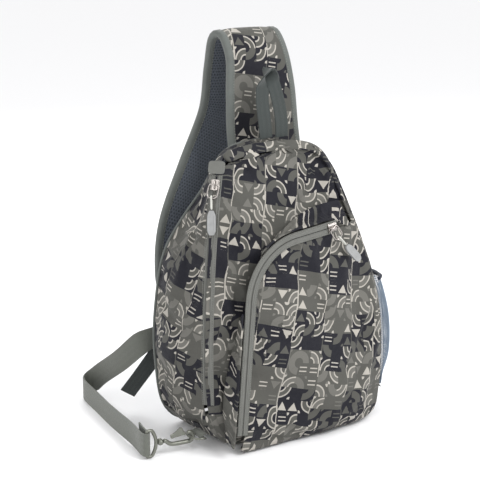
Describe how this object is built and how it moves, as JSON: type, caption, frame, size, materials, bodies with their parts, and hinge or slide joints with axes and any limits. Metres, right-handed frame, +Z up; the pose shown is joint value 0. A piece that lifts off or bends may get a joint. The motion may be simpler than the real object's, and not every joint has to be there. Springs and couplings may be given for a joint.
{
  "type": "sling bag",
  "caption": "Upright one-strap sling bag with an arched front pocket, side zip, net bottle pocket, padded loop strap and webbing with a swivel hook.",
  "frame": {"origin": "middle of the flat base, on the surface that the bag stands on", "axes": "+Z up, the front pocket faces -Y, the main side zip is on the -X side and the net pocket on the +X side"},
  "size_m": [0.3277, 0.2536, 0.4224],
  "materials": {
    "printed_fabric": "matt polyester plain weave with a blocky two-tone print",
    "air_mesh": "knitted spacer mesh",
    "binding": "grosgrain tape, fine cross ribs",
    "zip_tape": "knitted polyester zip tape, lengthwise ribs",
    "zip_coil": "moulded nylon coil",
    "nickel": "polished nickel plate",
    "pull_cord": "braided cord",
    "pull_rubber": "moulded soft grip, matt",
    "webbing": "polypropylene webbing, herringbone weave",
    "hook_metal": "satin olive-grey coated zinc alloy",
    "net": "open stretch net with a gathered hem",
    "lining": "plain lining fabric",
    "foam": "closed-cell foam padding",
    "plastic": "fine-textured moulded plastic"
  },
  "bodies": {
    "bag": {"left_gusset": "printed_fabric", "right_gusset": "printed_fabric", "top_panel": "printed_fabric", "base_panel": "printed_fabric", "front_panel": "printed_fabric", "pocket_face": "printed_fabric", "pocket_border": "printed_fabric", "pocket_base": "printed_fabric", "strap_cover": "printed_fabric", "back_pad": "air_mesh", "strap_mesh": "air_mesh", "front_binding": "binding", "back_piping": "binding", "strap_binding_left": "binding", "strap_binding_right": "binding", "side_mesh_seam": "binding", "main_zip_tape_inner": "zip_tape", "main_zip_tape_outer": "zip_tape", "pocket_zip_tape_inner": "zip_tape", "pocket_zip_tape_outer": "zip_tape", "zip_hood": "zip_tape", "main_zip_coil_inner": "zip_coil", "main_zip_coil_outer": "zip_coil", "pocket_zip_coil_inner": "zip_coil", "pocket_zip_coil_outer": "zip_coil", "lower_webbing": "webbing", "webbing_tail": "webbing", "ring_tab": "webbing", "hook_eye": "hook_metal", "hook_collar": "hook_metal", "side_mesh": "net", "side_mesh_hem": "net", "inner_pocket": "lining", "strap_foam": "foam", "back_board": "plastic", "strap_adjuster": "plastic"},
    "main_slider": {"main_slider": "nickel", "main_bail": "nickel"},
    "main_link": {"main_link": "nickel"},
    "main_pull": {"main_cord": "pull_cord", "main_grip": "pull_rubber"},
    "pocket_slider": {"pocket_slider": "nickel", "pocket_bail": "nickel"},
    "pocket_link": {"pocket_link": "nickel"},
    "pocket_pull": {"pocket_cord": "pull_cord", "pocket_grip": "pull_rubber"},
    "handle": {"grab_handle": "webbing"},
    "ring": {"d_ring": "hook_metal"},
    "hook": {"hook_body": "hook_metal"},
    "gate": {"hook_gate": "hook_metal"}
  },
  "joints": [
    {"name": "main_zip_slide", "type": "hinge", "parent": "bag", "child": "main_slider", "pos_m": [0.25939, 0.27247, 0.09766], "axis": [-0.6606, 0.7507, -0.0008], "range_deg": [-24, 0]},
    {"name": "main_link_flip", "type": "hinge", "parent": "main_slider", "child": "main_link", "pos_m": [-0.08266, -0.02836, 0.27633], "axis": [-0.6161, 0.7771, 0.1288], "range_deg": [0, 120]},
    {"name": "main_pull_flip", "type": "hinge", "parent": "main_link", "child": "main_pull", "pos_m": [-0.08775, -0.03025, 0.26343], "axis": [-0.6856, 0.7213, -0.0981], "range_deg": [0, 40]},
    {"name": "pocket_zip_slide", "type": "slide", "parent": "bag", "child": "pocket_slider", "axis": [0.9936, 0.0079, 0.1129], "range_m": [-0.042, 0]},
    {"name": "pocket_link_flip", "type": "hinge", "parent": "pocket_slider", "child": "pocket_link", "pos_m": [0.03893, -0.06691, 0.22308], "axis": [-0.8192, -0.04, -0.5722], "range_deg": [0, 120]},
    {"name": "pocket_pull_flip", "type": "hinge", "parent": "pocket_link", "child": "pocket_pull", "pos_m": [0.04696, -0.06771, 0.21164], "axis": [-0.7314, -0.0476, -0.6803], "range_deg": [0, 40]},
    {"name": "handle_fold", "type": "hinge", "parent": "bag", "child": "handle", "pos_m": [0.0105, -0.003, 0.314], "axis": [1, 0, 0], "range_deg": [-6, 80]},
    {"name": "ring_swing", "type": "hinge", "parent": "bag", "child": "ring", "pos_m": [-0.1056, -0.0326, 0.016], "axis": [0, 1, 0], "range_deg": [-3, 3]},
    {"name": "hook_swivel", "type": "hinge", "parent": "bag", "child": "hook", "pos_m": [-0.151, -0.0275, 0.016], "axis": [0.993, -0.118, 0], "range_deg": [-12, 12]},
    {"name": "gate_spring", "type": "hinge", "parent": "hook", "child": "gate", "pos_m": [-0.1366, -0.02921, 0.0192], "axis": [-0.118, -0.993, 0], "range_deg": [-14, 0], "stiffness_Nm_per_rad": 0.02, "springref_deg": 11.46}
  ]
}
